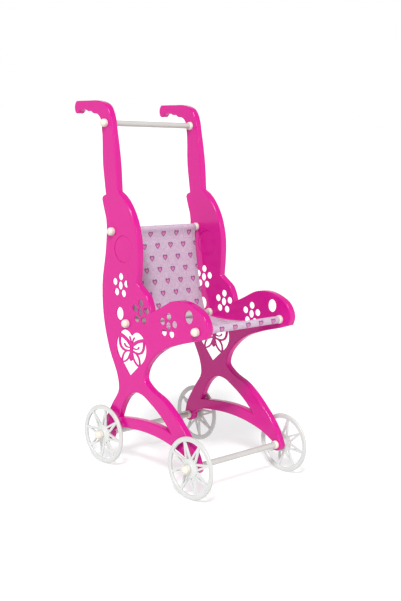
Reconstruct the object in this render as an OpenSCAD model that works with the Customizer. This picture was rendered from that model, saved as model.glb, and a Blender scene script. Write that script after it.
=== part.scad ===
// Doll stroller: two moulded side panels joined by cross-bars, a sling seat and four spoked wheels.
// The side shapes are drawn as (forward, up) points, with forward measured from midway between
// the axles and up from the ground. Every node is placed by x, forward and up.

/* [Side panels] */
// Clear width between the two side panels
inside_w = 162; // [150:0.5:190]
// Depth of the rim that runs round each panel
rim_depth = 10.8; // [8:0.2:14]
// Thickness of the rim wall
rim_wall = 2.6; // [2:0.1:3.2]
// Thickness of the flat face of each panel
face_t = 1.8; // [1.5:0.1:3]
// Height of the stiffening ribs behind the face
rib_h = 5; // [3:0.5:7]

/* [Wheels] */
// Outer diameter of a wheel
wheel_d = 90; // [84:1:96]
// Width of the wheel rim along the axle
wheel_w = 4; // [3.5:0.5:5]
// Radial height of the wheel rim
rim_h = 7; // [5:0.2:9]
// Distance between the front and rear axles
wheelbase = 190.5; // [186:0.5:194]
// Points of the spoke star on each wheel
star_points = 8; // [6:1:10]
// Width of one spoke
spoke_w = 3.1; // [2:0.1:3.4]
// Gap between a panel and the wheel hub, filled by a washer and its play
hub_gap = 1.6; // [1.4:0.1:3]
// Length of the wheel hub along the axle
hub_l = 10; // [9:0.5:12]

/* [Cross-bars] */
// Outer diameter of every tube
bar_d = 8.8; // [8:0.1:9.6]
// Wall thickness of every tube
bar_wall = 0.8; // [0.6:0.1:1.2]
// Diameter of the collars inside the panels
collar_d = 12.8; // [12:0.2:14]
// Length of the collars inside the panels
collar_l = 4.6; // [4:0.2:5.2]
// Diameter of the domed caps outside the panels
cap_d = 12; // [11:0.5:14]
// How far a domed cap stands out
cap_l = 8.6; // [7:0.2:10]

/* [Sling seat] */
// Width of the cloth at the backrest bar
cloth_top_w = 151; // [140:1:151]
// Width of the cloth at the seat
cloth_seat_w = 141; // [130:1:150]
// Thickness of the doubled cloth
cloth_t = 1; // [0.8:0.1:1.4]

/* [Fits] */
// Radial clearance of a wheel on its axle
running_fit = 0.08; // [0.04:0.01:0.1]
// Radial clearance between cloth and bar
cloth_gap = 0.2; // [0.15:0.05:0.3]

/* [Hidden] */
$fn = 64;
wheel_r = wheel_d / 2;
bar_r = bar_d / 2;
tube_bore_r = bar_r - bar_wall;

// Bar and axle centres, as (forward, up)
push_at = [-125.7, 511];
back_at = [-100.5, 354];
seat_rear_at = [-59.8, 222.6];
seat_front_at = [86.6, 237.3];
rear_axle_at = [-wheelbase / 2, wheel_r];
front_axle_at = [wheelbase / 2, wheel_r];

// The footprint is centred on the origin: front wheels in front, handle grips behind
grip_reach = 200;
front_reach = wheelbase / 2 + wheel_r;
mid_y = (front_reach - grip_reach) / 2;

// Distances along x, from the middle plane outwards
panel_in = inside_w / 2;
panel_out = panel_in + rim_depth;
hub_in = panel_out + hub_gap;
hub_out = hub_in + hub_l;
end_play = 0.3;
washer_t = hub_gap - end_play;
tube_set_in = 1;
bar_end = panel_out - tube_set_in;
axle_end = hub_out - tube_set_in;
plug_l = 14;

sides = ["left", "right"];
bars = ["push_bar", "backrest_bar", "seat_rear_bar", "seat_front_bar"];
axles = ["rear_axle", "front_axle"];

panel_pink = "#E6329B";
tube_white = "#E4E4E0";
wheel_white = "#E8EAE8";
cap_cream = "#EEEBDD";
cloth_lilac = "#D9BCD2";

function bar_at(name) =
    name == "push_bar" ? push_at :
    name == "backrest_bar" ? back_at :
    name == "seat_rear_bar" ? seat_rear_at : seat_front_at;
function axle_at(name) = name == "rear_axle" ? rear_axle_at : front_axle_at;
// How far each wheel has rolled at rest, so that the stars don't line up
function wheel_turn(name, side) =
    name == "front_axle" ? (side == "left" ? 21 : 9) : (side == "left" ? -4 : -15);
function side_sign(side) = side == "left" ? -1 : 1;

// ---- outline helpers ----

// Slope at point i, from the chords on either side of it
function slope(p, i) =
    let (n = len(p) - 1)
    i == 0 ? (p[1] - p[0]) / norm(p[1] - p[0]) :
    i == n ? (p[n] - p[n - 1]) / norm(p[n] - p[n - 1]) :
    let (a = norm(p[i] - p[i - 1]), b = norm(p[i + 1] - p[i]))
    ((p[i] - p[i - 1]) * b / a + (p[i + 1] - p[i]) * a / b) / (a + b);

// Cubic between points i and i + 1, at t from 0 to 1
function cubic(p, i, t) =
    let (h = norm(p[i + 1] - p[i]))
    p[i] * (2 * t ^ 3 - 3 * t ^ 2 + 1) + slope(p, i) * h * (t ^ 3 - 2 * t ^ 2 + t)
    + p[i + 1] * (3 * t ^ 2 - 2 * t ^ 3) + slope(p, i + 1) * h * (t ^ 3 - t ^ 2);

// Smooth curve through every point of p, without its last point, so that curves can follow on
function curve(p, steps = 4) =
    [for (i = [0:len(p) - 2], k = [0:steps - 1]) cubic(p, i, k / steps)];

// Arc from angle a to angle b, ends included
function arc(c, r, a, b, steps = 8) =
    [for (k = [0:steps]) c + r * [cos(a + (b - a) * k / steps), sin(a + (b - a) * k / steps)]];

function ellipse(c, r, turn = 0, steps = 24) =
    [for (k = [0:steps - 1])
        let (a = 360 * k / steps, x = r[0] * cos(a), y = r[1] * sin(a))
        c + [x * cos(turn) - y * sin(turn), x * sin(turn) + y * cos(turn)]];

// Strip of width w along the points p, with a width of its own at each end
function ribbon(p, w, w_end) =
    let (n = len(p) - 1)
    concat(
        [for (i = [0:n]) let (s = slope(p, i) / norm(slope(p, i)), h = (w + (w_end - w) * i / n) / 2)
            p[i] + h * [-s[1], s[0]]],
        [for (i = [n:-1:0]) let (s = slope(p, i) / norm(slope(p, i)), h = (w + (w_end - w) * i / n) / 2)
            p[i] - h * [-s[1], s[0]]]);

// A (forward, up) shape stood upright, from x over depth towards +x
module upright(x, depth) {
    translate([x + depth, mid_y, 0])
        rotate([90, 0, -90])
            linear_extrude(depth)
                children();
}

// Children turned from the z axis onto the x axis, at a (forward, up) point
module along_x(at, side = 1) {
    translate([0, mid_y - at[0], at[1]])
        rotate([0, 90 * side, 0])
            children();
}

// ---- side panel ----

foot_r = 10;
foot_end = 20;

grip_top = [[-197, 540.5], [-168, 542], [-140, 542], [-125, 536.5], [-116, 524],
    [-109, 500], [-97.5, 450], [-93, 416]];
body_front = [[-92.5, 413.5], [-82, 408], [-60, 385], [-44, 346], [-41, 310], [-41.5, 284.5]];
body_bump = [[-41.5, 284.5], [-31.5, 278], [-20, 270.5], [-13, 260], [-8.5, 248]];
arm_top = [[-8.5, 248], [10, 258], [35, 271.5], [56, 275], [80, 271], [99, 261], [107.8, 243],
    [105, 231]];
arm_under = [[105, 231], [90, 225], [50, 211.5], [20, 198], [0, 182], [-14.5, 161],
    [-16.5, 147], [-4, 136.5], [26, 125], [46, 112.5], [66, 96], [85, 77.5], [99, 58],
    front_axle_at + [foot_r, 0]];
beam_under = [front_axle_at + foot_r * [-cos(foot_end), sin(foot_end)], [70, 56], [40, 64],
    [0, 68], [-40, 65.5], [-70, 59.5], rear_axle_at + foot_r * [cos(foot_end), sin(foot_end)]];
rear_edge = [rear_axle_at + [-foot_r, 0], [-102.5, 62], [-86, 96], [-73, 121], [-75, 133],
    [-98, 176], [-112.5, 215], [-120.5, 270], [-115, 335], [-117, 370], [-124, 388], [-128, 399]];
hip = [[-128, 399], [-127, 403], [-120, 407]];
post_rear = [[-120, 407], [-129, 450], [-136, 508], [-139, 517], [-146, 522.5],
    [-156, 523.5]];
grip_under = [[-156, 523.5], [-162, 526.5], [-168, 526.2], [-174, 528], [-180, 527.6],
    [-186, 527], [-191, 522.4], [-197, 522], [-200, 527], [-200, 536], [-197, 540.5]];

panel_outline = concat(
    curve(grip_top), curve(body_front), curve(body_bump, 3), curve(arm_top), curve(arm_under),
    arc(front_axle_at, foot_r, 0, foot_end - 180 - 2 * foot_end, 10),
    curve(beam_under),
    arc(rear_axle_at, foot_r, foot_end, -180, 10),
    curve(rear_edge), curve(hip, 3), curve(post_rear), curve(grip_under, 3));

leg_opening = concat(
    curve([[-69, 77.5], [-40, 82], [0, 85.5], [25, 84.5], [45, 80.5]]),
    curve([[45, 80.5], [28, 95.5], [-2, 114], [-22, 122.5], [-36, 122.5], [-50, 114], [-62.5, 96],
        [-69, 77.5]]));

// Flower, oval and heart windows. A radius pair is (forward, up), and a petal's is (outward, across)
flowers = [[-78, 276.3], [-31, 244.1], [28.8, 235.2]];
flower_eye_r = [4.9, 6];
petal_r = [5.3, 5.2];
petal_ring = 13.2;
rear_oval = [-76.5, 234.5];
rear_oval_r = [7.8, 9.6];
front_oval = [69.5, 255];
front_oval_r = [8.1, 9.6];
heart_at = [-48, 195.2];
heart_half = [[0, 11], [4, 14.5], [13, 17.5], [22, 14.5], [29, 7], [33, -4], [32.5, -13],
    [27.5, -23], [17, -33], [0, -49.5]];

// Round recess for a label
label_at = [-74.5, 331];
label_r = 19.8;
label_depth = 0.4;

module flower_window(at) {
    polygon(ellipse(at, flower_eye_r));
    for (k = [0:4])
        let (a = 90 + 72 * k)
            polygon(ellipse(at + petal_ring * [cos(a), sin(a)], petal_r, a));
}

// Heart from its right half, which runs from the notch over the lobe and down to the tip
module heart() {
    half = curve(heart_half);
    polygon(concat(half, [heart_half[len(heart_half) - 1]],
        [for (i = [len(half) - 1:-1:1]) [-half[i][0], half[i][1]]]));
}

// Openwork butterfly, about the heart's centre line
module butterfly() {
    body = [[1.6, 2], [3.4, -2], [3.4, -8], [3, -13], [3.8, -19], [3.4, -24], [1.4, -27]];
    polygon(concat(body, [for (i = [len(body) - 1:-1:0]) [-body[i][0], body[i][1]]]));
    for (m = [0, 1])
        mirror([m, 0]) {
            feeler();
            fore_wing();
            hind_wing();
        }
}

module feeler() {
    polygon(ribbon(curve([[0.8, -1], [3, 5], [6.4, 10.4]]), 2, 2.4));
}

// Leading band out to the rim of the heart, outer band back to the body, and a hooked vein
module fore_wing() {
    polygon(ribbon(curve([[2, -3.5], [10, 2.5], [20, 6.8], [32, 9.4]]), 5, 5.4));
    polygon(ribbon(curve([[26.8, 7], [26.4, -4], [23.5, -9.4], [18, -12.6], [12, -13.4], [2, -12]]),
        4.2, 2.8));
    polygon(ribbon(curve([[2, -6.8], [10.5, -7.8], [14, -6.4], [17, -2]]), 2, 2.4));
}

// Leaf-shaped loop that ends on the rim of the heart
module hind_wing() {
    polygon(ribbon(curve([[2, -12], [11, -14.2], [17, -19.5], [19.3, -25.5], [19.4, -35]]), 2.6, 2.8));
    polygon(ribbon(curve([[2.5, -16], [6.5, -24.5], [12, -29.4], [20.5, -33]]), 2.6, 2.6));
}

module heart_window() {
    translate(heart_at)
        difference() {
            heart();
            butterfly();
        }
}

// Flat shape of the whole panel, without its small windows
module panel_shape() {
    difference() {
        polygon(panel_outline);
        polygon(leg_opening);
    }
}

module rim_shape() {
    difference() {
        panel_shape();
        offset(delta = -rim_wall) panel_shape();
    }
}

rib_w = 2;
boss_r = 8;
ribs = [
    [push_at, [-113, 440], back_at],
    [back_at, [-107, 310], [-108, 262], [-100, 212]],
    [[-60, 140], [20, 112], [60, 88], front_axle_at],
    [[-85, 80], rear_axle_at],
    [rear_axle_at, [-40, 74], [0, 77], [40, 74], front_axle_at]];

module panel(x) {
    color(panel_pink)
        difference() {
            union() {
                upright(x, face_t) panel_shape();
                upright(x, rim_depth) rim_shape();
                intersection() {
                    upright(x, face_t + rib_h) panel_shape();
                    upright(x, face_t + rib_h)
                        for (r = ribs) polygon(ribbon(curve(r), rib_w, rib_w));
                }
                for (b = bars) boss(x, bar_at(b));
                for (a = axles) boss(x, axle_at(a));
            }
            upright(x - 1, face_t + 2) {
                for (f = flowers) flower_window(f);
                polygon(ellipse(rear_oval, rear_oval_r));
                polygon(ellipse(front_oval, front_oval_r));
                heart_window();
            }
            along_x(label_at) translate([0, 0, x - 1]) cylinder(r = label_r, h = 1 + label_depth);
            for (b = bars) bar_bore(x, bar_at(b));
            for (a = axles) bar_bore(x, axle_at(a));
        }
}

module boss(x, at) {
    along_x(at) translate([0, 0, x]) cylinder(r = boss_r, h = rim_depth);
}

module bar_bore(x, at) {
    along_x(at) translate([0, 0, x - 1]) cylinder(r = bar_r, h = rim_depth + 2);
}

// ---- tubes, collars and caps ----

module tube(at, half_l) {
    color(tube_white)
        along_x(at)
            difference() {
                translate([0, 0, -half_l]) cylinder(r = bar_r, h = 2 * half_l);
                translate([0, 0, -half_l - 1]) cylinder(r = tube_bore_r, h = 2 * half_l + 2);
            }
}

// Bush with a domed inner end, pressed on the tube against the panel
module collar(at, side) {
    r = collar_d / 2;
    dome = collar_l - 1;
    color(cap_cream)
        along_x(at, side_sign(side))
            translate([0, 0, panel_in - collar_l])
                rotate_extrude()
                    polygon(concat(
                        [[bar_r, 0]],
                        [for (k = [0:8]) [bar_r + 0.5 + (r - bar_r - 0.5) * sin(11.25 * k),
                            dome * (1 - cos(11.25 * k))]],
                        [[r, collar_l], [bar_r, collar_l]]));
}

// Domed head with a plug that presses into the tube end
module plug_cap(at, side, seat_x, tube_x, head_r, head_l) {
    dome = head_r * 0.8;
    color(cap_cream)
        along_x(at, side_sign(side))
            translate([0, 0, seat_x])
                rotate_extrude()
                    polygon(concat(
                        [[0, tube_x - seat_x - plug_l], [tube_bore_r, tube_x - seat_x - plug_l],
                            [tube_bore_r, tube_x - seat_x], [bar_r, tube_x - seat_x], [bar_r, 0],
                            [head_r, 0]],
                        [for (k = [0:8])
                            [head_r * cos(11.25 * k), head_l - dome + dome * sin(11.25 * k)]]));
}

module washer(at, side) {
    color(wheel_white)
        along_x(at, side_sign(side))
            translate([0, 0, panel_out])
                difference() {
                    cylinder(r = 7, h = washer_t);
                    translate([0, 0, -1]) cylinder(r = bar_r + 0.2, h = washer_t + 2);
                }
}

// ---- wheel ----

hub_cap_r = cap_d / 2 + 0.5;
hub_cap_l = cap_l + 1.4;
hub_disc_r = 14;
hub_neck_r = 7.6;
spoke_t = 2.6;

// The rim's middle lies a little outside the panel, and the hub is dished outwards from it
rim_mid = 5.4;

// Profile of the rim, as (radius, along the axle)
module rim_profile() {
    inner_r = wheel_r - rim_h;
    x0 = rim_mid - wheel_w / 2;
    x1 = rim_mid + wheel_w / 2;
    polygon([[inner_r, x0 + 0.6], [inner_r + 0.6, x0], [wheel_r - 1.2, x0], [wheel_r, x0 + 1.2],
        [wheel_r, x1 - 1.2], [wheel_r - 1.2, x1], [inner_r + 0.6, x1], [inner_r, x1 - 0.6]]);
}

// Profile of the hub: a thin dish from the spokes out to the neck that runs on the axle
module hub_profile() {
    disc_in = rim_mid - spoke_t / 2 - 0.3;
    disc_out = rim_mid + spoke_t / 2 + 0.3;
    polygon([[0, 0], [hub_neck_r, 0], [hub_neck_r, disc_in], [hub_disc_r, disc_in],
        [hub_disc_r, disc_out], [hub_disc_r - 3, disc_out + 1], [hub_neck_r + 1.4, hub_l - 1.4],
        [hub_neck_r, hub_l], [0, hub_l]]);
}

module wheel(at, side, turn) {
    color(wheel_white)
        along_x(at, side_sign(side))
            translate([0, 0, hub_in])
                difference() {
                    union() {
                        rotate_extrude($fn = 96) rim_profile();
                        rotate_extrude() hub_profile();
                        rotate(turn) star_spokes();
                    }
                    translate([0, 0, -1]) cylinder(r = bar_r + running_fit, h = hub_l + 2);
                }
}

// Each point of the star is a V: two thin spokes that spread from the rim to the hub
module star_spokes() {
    half_step = 180 / star_points;
    tip = wheel_r - rim_h + 1;
    foot = (hub_disc_r - 2.5) * [cos(half_step), sin(half_step)];
    slant = atan2(foot[1], tip - foot[0]);
    side_of_spoke = spoke_w / 2 * [sin(slant), cos(slant)];
    notch = tip - spoke_w / 2 / sin(slant);
    upper = [[tip, spoke_w * 0.8], [tip - 2.5, spoke_w * 0.56], foot + side_of_spoke,
        foot - side_of_spoke];
    translate([0, 0, rim_mid - spoke_t / 2])
        linear_extrude(spoke_t)
            for (k = [0:star_points - 1])
                rotate(2 * half_step * k)
                    polygon(concat(upper, [[notch, 0]],
                        [for (i = [3:-1:0]) [upper[i][0], -upper[i][1]]]));
}

// ---- sling seat ----

sleeve_in = bar_r + cloth_gap;
sleeve_out = sleeve_in + cloth_t;
sleeve_mid = (sleeve_in + sleeve_out) / 2;
sleeve_seam = sleeve_mid + 0.3;
backrest_end = back_at + sleeve_seam * [cos(198), sin(198)];
seat_end = seat_front_at + sleeve_seam * [cos(280), sin(280)];
cloth_path = concat(
    curve([backrest_end, [-84, 286], seat_rear_at + sleeve_mid * [cos(162), sin(162)]], 6),
    arc(seat_rear_at, sleeve_mid, 165, 275, 6),
    curve([seat_rear_at + sleeve_mid * [cos(280), sin(280)], [10, 221.5], seat_end], 6),
    [seat_end]);

// Width of the cloth before its sides are cut to their taper
uncut_w = cloth_top_w + 10;

// Tube of cloth round a bar
module sleeve(at) {
    along_x(at)
        difference() {
            translate([0, 0, -uncut_w / 2]) cylinder(r = sleeve_out, h = uncut_w);
            translate([0, 0, -uncut_w / 2 - 1]) cylinder(r = sleeve_in, h = uncut_w + 2);
        }
}

module sling_seat() {
    color(cloth_lilac)
        intersection() {
            union() {
                upright(-uncut_w / 2, uncut_w)
                    polygon(ribbon(cloth_path, cloth_t, cloth_t));
                sleeve(back_at);
                sleeve(seat_front_at);
            }
            translate([0, 200, 0])
                rotate([90, 0, 0])
                    linear_extrude(400)
                        polygon([[-cloth_seat_w / 2, 200], [cloth_seat_w / 2, 200],
                            [cloth_seat_w / 2, 250], [cloth_top_w / 2, 340], [cloth_top_w / 2, 380],
                            [-cloth_top_w / 2, 380], [-cloth_top_w / 2, 340], [-cloth_seat_w / 2, 250]]);
        }
}

// ---- assembly ----

panel(-panel_out);  // left_side_panel
panel(panel_in);  // right_side_panel
for (b = bars) {
    tube(bar_at(b), bar_end);
    for (s = sides) {
        collar(bar_at(b), s);
        plug_cap(bar_at(b), s, panel_out, bar_end, cap_d / 2, cap_l);
    }
}
for (a = axles) {
    tube(axle_at(a), axle_end);
    for (s = sides) {
        collar(axle_at(a), s);
        washer(axle_at(a), s);
        wheel(axle_at(a), s, wheel_turn(a, s));
        plug_cap(axle_at(a), s, hub_out + end_play, axle_end, hub_cap_r, hub_cap_l);
    }
}
sling_seat();
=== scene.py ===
"""Doll stroller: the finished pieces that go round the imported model.

Every piece sits where its CAD nodes sit, in metres, and rides on their body. The side panels and
the wheels are softened copies of their nodes. The bars, collars, caps and washers are turned
afresh, and the sling is a hung cloth with sewn sleeves and hems.
"""

import sys

import logging
import math
from collections import defaultdict
from dataclasses import dataclass
from enum import Enum

import bmesh
import bpy
from mathutils import Matrix, Vector, noise


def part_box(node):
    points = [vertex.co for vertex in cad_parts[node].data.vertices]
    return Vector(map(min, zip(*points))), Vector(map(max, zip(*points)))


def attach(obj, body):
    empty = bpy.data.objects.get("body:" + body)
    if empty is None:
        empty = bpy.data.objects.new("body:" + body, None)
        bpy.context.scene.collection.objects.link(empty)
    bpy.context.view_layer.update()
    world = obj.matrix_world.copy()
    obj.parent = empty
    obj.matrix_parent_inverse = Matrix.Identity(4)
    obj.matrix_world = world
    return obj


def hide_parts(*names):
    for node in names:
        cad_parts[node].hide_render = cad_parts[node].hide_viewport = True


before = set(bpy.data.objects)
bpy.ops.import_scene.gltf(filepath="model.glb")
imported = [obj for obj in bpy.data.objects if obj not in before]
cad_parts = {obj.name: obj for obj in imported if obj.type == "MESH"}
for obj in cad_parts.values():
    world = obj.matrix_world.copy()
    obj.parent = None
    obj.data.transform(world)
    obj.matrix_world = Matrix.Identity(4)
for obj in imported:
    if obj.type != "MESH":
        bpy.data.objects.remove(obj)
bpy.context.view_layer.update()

LOG = logging.getLogger("doll_stroller")
MM = 0.001
FRAME_BODY = "frame"


class Side(Enum):
    """Side of the stroller: left is towards -X, and right towards +X."""

    LEFT = -1
    RIGHT = 1

    @property
    def label(self) -> str:
        """Name of the side, as the CAD nodes spell it."""
        return self.name.lower()


class Slot(Enum):
    """Names of the material slots."""

    PANEL = "panel_plastic"
    TUBE = "tube_enamel"
    CAP = "cap_plastic"
    WHEEL = "wheel_plastic"
    CLOTH = "sling_fabric"


# ---- node and colour helpers ----


def linear(colour: str) -> tuple[float, float, float, float]:
    """Turns an sRGB hex colour into linear light.

    Args:
        colour: Colour as "#RRGGBB".

    Returns:
        Red, green, blue and an alpha of 1, in linear light.
    """
    channels = [int(colour[i : i + 2], 16) / 255 for i in (1, 3, 5)]
    red, green, blue = (
        c / 12.92 if c <= 0.04045 else ((c + 0.055) / 1.055) ** 2.4 for c in channels
    )
    return red, green, blue, 1.0


def add_node(tree: bpy.types.NodeTree, kind: str, inputs: dict | None = None, **settings) -> bpy.types.Node:
    """Adds a node with its settings and links.

    Args:
        tree: Node tree to add to.
        kind: Node type, such as "ShaderNodeMath".
        inputs: Socket name or number to a value, or to the output socket that it links from.
        **settings: Properties of the node, such as operation="ADD".

    Returns:
        The new node.
    """
    node = tree.nodes.new(kind)
    for name, value in settings.items():
        setattr(node, name, value)
    for key, value in (inputs or {}).items():
        if isinstance(value, bpy.types.NodeSocket):
            tree.links.new(value, node.inputs[key])
        else:
            node.inputs[key].default_value = value
    return node


def blank_material(name: str) -> tuple[bpy.types.Material, bpy.types.NodeTree, bpy.types.Node]:
    """Makes a material that holds only a Principled shader.

    Args:
        name: Name of the material.

    Returns:
        The material, its node tree and its shader.
    """
    material = bpy.data.materials.new(name)
    material.use_nodes = True
    tree = material.node_tree
    return material, tree, tree.nodes["Principled BSDF"]


def per_metre(size_mm: float) -> float:
    """Texture scale, in features per metre, for a feature of this size in millimetres."""
    return 1.0 / (size_mm * MM)


# ---- finishes ----


@dataclass(frozen=True)
class PanelPlastic:
    """Injection-moulded polypropylene, dyed magenta right through.

    A polished mould gives a bright gloss. The wall shrinks a little unevenly as it cools, which
    ripples the reflections, and handling rubs the gloss in patches.
    """

    colour: str = "#C00C81"
    colour_deep: str = "#B9097A"
    ripple_mm: float = 28.0
    rubbed_mm: float = 9.0
    peel_mm: float = 1.6

    def material(self) -> bpy.types.Material:
        """Builds the material."""
        material, tree, shader = blank_material("moulded_polypropylene_magenta")
        place = add_node(tree, "ShaderNodeTexCoord").outputs["Object"]
        clouds = add_node(tree, "ShaderNodeTexNoise", {"Vector": place, "Scale": per_metre(60.0), "Detail": 3.0})
        tint = add_node(
            tree,
            "ShaderNodeMix",
            {"Factor": clouds.outputs["Fac"], "A": linear(self.colour_deep), "B": linear(self.colour)},
            data_type="RGBA",
        )
        tree.links.new(tint.outputs["Result"], shader.inputs["Base Color"])
        rubbed = add_node(
            tree, "ShaderNodeTexNoise", {"Vector": place, "Scale": per_metre(self.rubbed_mm), "Detail": 8.0}
        )
        gloss = add_node(
            tree,
            "ShaderNodeMapRange",
            {"Value": rubbed.outputs["Fac"], "From Min": 0.35, "From Max": 0.75, "To Min": 0.13, "To Max": 0.2},
        )
        tree.links.new(gloss.outputs["Result"], shader.inputs["Roughness"])
        ripple = add_node(
            tree, "ShaderNodeTexNoise", {"Vector": place, "Scale": per_metre(self.ripple_mm), "Detail": 1.0}
        )
        peel = add_node(
            tree, "ShaderNodeTexNoise", {"Vector": place, "Scale": per_metre(self.peel_mm), "Detail": 2.0}
        )
        broad = add_node(
            tree, "ShaderNodeBump", {"Height": ripple.outputs["Fac"], "Strength": 0.3, "Distance": 0.35 * MM}
        )
        fine = add_node(
            tree,
            "ShaderNodeBump",
            {
                "Height": peel.outputs["Fac"],
                "Strength": 0.2,
                "Distance": 0.012 * MM,
                "Normal": broad.outputs["Normal"],
            },
        )
        tree.links.new(fine.outputs["Normal"], shader.inputs["Normal"])
        shader.inputs["IOR"].default_value = 1.49
        shader.inputs["Specular IOR Level"].default_value = 0.35
        shader.inputs["Subsurface Weight"].default_value = 0.04
        shader.inputs["Subsurface Radius"].default_value = (1.0, 0.25, 0.6)
        shader.inputs["Subsurface Scale"].default_value = 2.0 * MM
        return material


@dataclass(frozen=True)
class TubeEnamel:
    """Thin-walled steel tube, sprayed with white enamel and baked.

    The drawn tube's faint lines run lengthwise under the paint, and the paint film has a slight
    orange peel.
    """

    colour: str = "#B6B4B1"
    colour_grimy: str = "#ACAAA6"
    line_mm: float = 0.9
    peel_mm: float = 1.3

    def material(self) -> bpy.types.Material:
        """Builds the material."""
        material, tree, shader = blank_material("baked_enamel_white")
        place = add_node(tree, "ShaderNodeTexCoord").outputs["Object"]
        lengthwise = add_node(
            tree, "ShaderNodeMapping", {"Vector": place, "Scale": (0.05, 1.0, 1.0)}
        ).outputs["Vector"]
        lines = add_node(
            tree, "ShaderNodeTexNoise", {"Vector": lengthwise, "Scale": per_metre(self.line_mm), "Detail": 3.0}
        )
        handled = add_node(
            tree, "ShaderNodeTexNoise", {"Vector": place, "Scale": per_metre(14.0), "Detail": 5.0}
        )
        tint = add_node(
            tree,
            "ShaderNodeMix",
            {"Factor": handled.outputs["Fac"], "A": linear(self.colour_grimy), "B": linear(self.colour)},
            data_type="RGBA",
        )
        tree.links.new(tint.outputs["Result"], shader.inputs["Base Color"])
        satin = add_node(
            tree,
            "ShaderNodeMapRange",
            {"Value": handled.outputs["Fac"], "From Min": 0.3, "From Max": 0.7, "To Min": 0.42, "To Max": 0.3},
        )
        tree.links.new(satin.outputs["Result"], shader.inputs["Roughness"])
        peel = add_node(
            tree, "ShaderNodeTexNoise", {"Vector": place, "Scale": per_metre(self.peel_mm), "Detail": 1.0}
        )
        drawn = add_node(
            tree, "ShaderNodeBump", {"Height": lines.outputs["Fac"], "Strength": 0.2, "Distance": 0.05 * MM}
        )
        film = add_node(
            tree,
            "ShaderNodeBump",
            {"Height": peel.outputs["Fac"], "Strength": 0.2, "Distance": 0.05 * MM, "Normal": drawn.outputs["Normal"]},
        )
        tree.links.new(film.outputs["Normal"], shader.inputs["Normal"])
        shader.inputs["Coat Weight"].default_value = 0.25
        shader.inputs["Coat Roughness"].default_value = 0.2
        return material


@dataclass(frozen=True)
class CapPolyethylene:
    """Injection-moulded low-density polyethylene in cream.

    It is soft and waxy, so light goes a little way in, and the surface has a broad sheen with a
    fine moulded grain.
    """

    colour: str = "#D3CEC4"
    colour_shade: str = "#CBC5B9"
    grain_mm: float = 0.8

    def material(self) -> bpy.types.Material:
        """Builds the material."""
        material, tree, shader = blank_material("moulded_polyethylene_cream")
        place = add_node(tree, "ShaderNodeTexCoord").outputs["Object"]
        waxy = add_node(tree, "ShaderNodeTexNoise", {"Vector": place, "Scale": per_metre(5.0), "Detail": 4.0})
        tint = add_node(
            tree,
            "ShaderNodeMix",
            {"Factor": waxy.outputs["Fac"], "A": linear(self.colour_shade), "B": linear(self.colour)},
            data_type="RGBA",
        )
        tree.links.new(tint.outputs["Result"], shader.inputs["Base Color"])
        sheen = add_node(
            tree,
            "ShaderNodeMapRange",
            {"Value": waxy.outputs["Fac"], "From Min": 0.3, "From Max": 0.7, "To Min": 0.28, "To Max": 0.4},
        )
        tree.links.new(sheen.outputs["Result"], shader.inputs["Roughness"])
        grain = add_node(
            tree, "ShaderNodeTexNoise", {"Vector": place, "Scale": per_metre(self.grain_mm), "Detail": 2.0}
        )
        bump = add_node(
            tree, "ShaderNodeBump", {"Height": grain.outputs["Fac"], "Strength": 0.25, "Distance": 0.05 * MM}
        )
        tree.links.new(bump.outputs["Normal"], shader.inputs["Normal"])
        shader.inputs["Subsurface Weight"].default_value = 0.15
        shader.inputs["Subsurface Radius"].default_value = (1.0, 0.9, 0.7)
        shader.inputs["Subsurface Scale"].default_value = 1.5 * MM
        shader.inputs["IOR"].default_value = 1.51
        return material


@dataclass(frozen=True)
class WheelPolypropylene:
    """Injection-moulded polypropylene in a cool grey white, from a satin mould.

    The rim's rolling face is scuffed and a little grey from the floor, which the "tread" attribute
    of the wheel's own mesh marks.
    """

    colour: str = "#C5C7C5"
    colour_flow: str = "#BCBEBC"
    colour_scuffed: str = "#A5A49F"
    flow_mm: float = 11.0
    satin_mm: float = 0.9
    scuff_mm: float = 1.8

    def material(self) -> bpy.types.Material:
        """Builds the material."""
        material, tree, shader = blank_material("moulded_polypropylene_white")
        place = add_node(tree, "ShaderNodeTexCoord").outputs["Object"]
        flow = add_node(
            tree, "ShaderNodeTexNoise", {"Vector": place, "Scale": per_metre(self.flow_mm), "Detail": 4.0}
        )
        body = add_node(
            tree,
            "ShaderNodeMix",
            {"Factor": flow.outputs["Fac"], "A": linear(self.colour_flow), "B": linear(self.colour)},
            data_type="RGBA",
        )
        scuffs = add_node(
            tree, "ShaderNodeTexNoise", {"Vector": place, "Scale": per_metre(self.scuff_mm), "Detail": 6.0}
        )
        tread = add_node(tree, "ShaderNodeAttribute", attribute_name="tread")
        worn = add_node(
            tree,
            "ShaderNodeMath",
            {0: tread.outputs["Fac"], 1: scuffs.outputs["Fac"]},
            operation="MULTIPLY",
            use_clamp=True,
        )
        tint = add_node(
            tree,
            "ShaderNodeMix",
            {"Factor": worn.outputs["Value"], "A": body.outputs["Result"], "B": linear(self.colour_scuffed)},
            data_type="RGBA",
        )
        tree.links.new(tint.outputs["Result"], shader.inputs["Base Color"])
        satin = add_node(
            tree,
            "ShaderNodeMapRange",
            {"Value": worn.outputs["Value"], "To Min": 0.38, "To Max": 0.62},
        )
        tree.links.new(satin.outputs["Result"], shader.inputs["Roughness"])
        grain = add_node(
            tree, "ShaderNodeTexNoise", {"Vector": place, "Scale": per_metre(self.satin_mm), "Detail": 3.0}
        )
        bump = add_node(
            tree, "ShaderNodeBump", {"Height": grain.outputs["Fac"], "Strength": 0.25, "Distance": 0.06 * MM}
        )
        tree.links.new(bump.outputs["Normal"], shader.inputs["Normal"])
        shader.inputs["Subsurface Weight"].default_value = 0.08
        shader.inputs["Subsurface Radius"].default_value = (1.0, 1.0, 1.0)
        shader.inputs["Subsurface Scale"].default_value = 1.5 * MM
        shader.inputs["IOR"].default_value = 1.49
        return material


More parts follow.
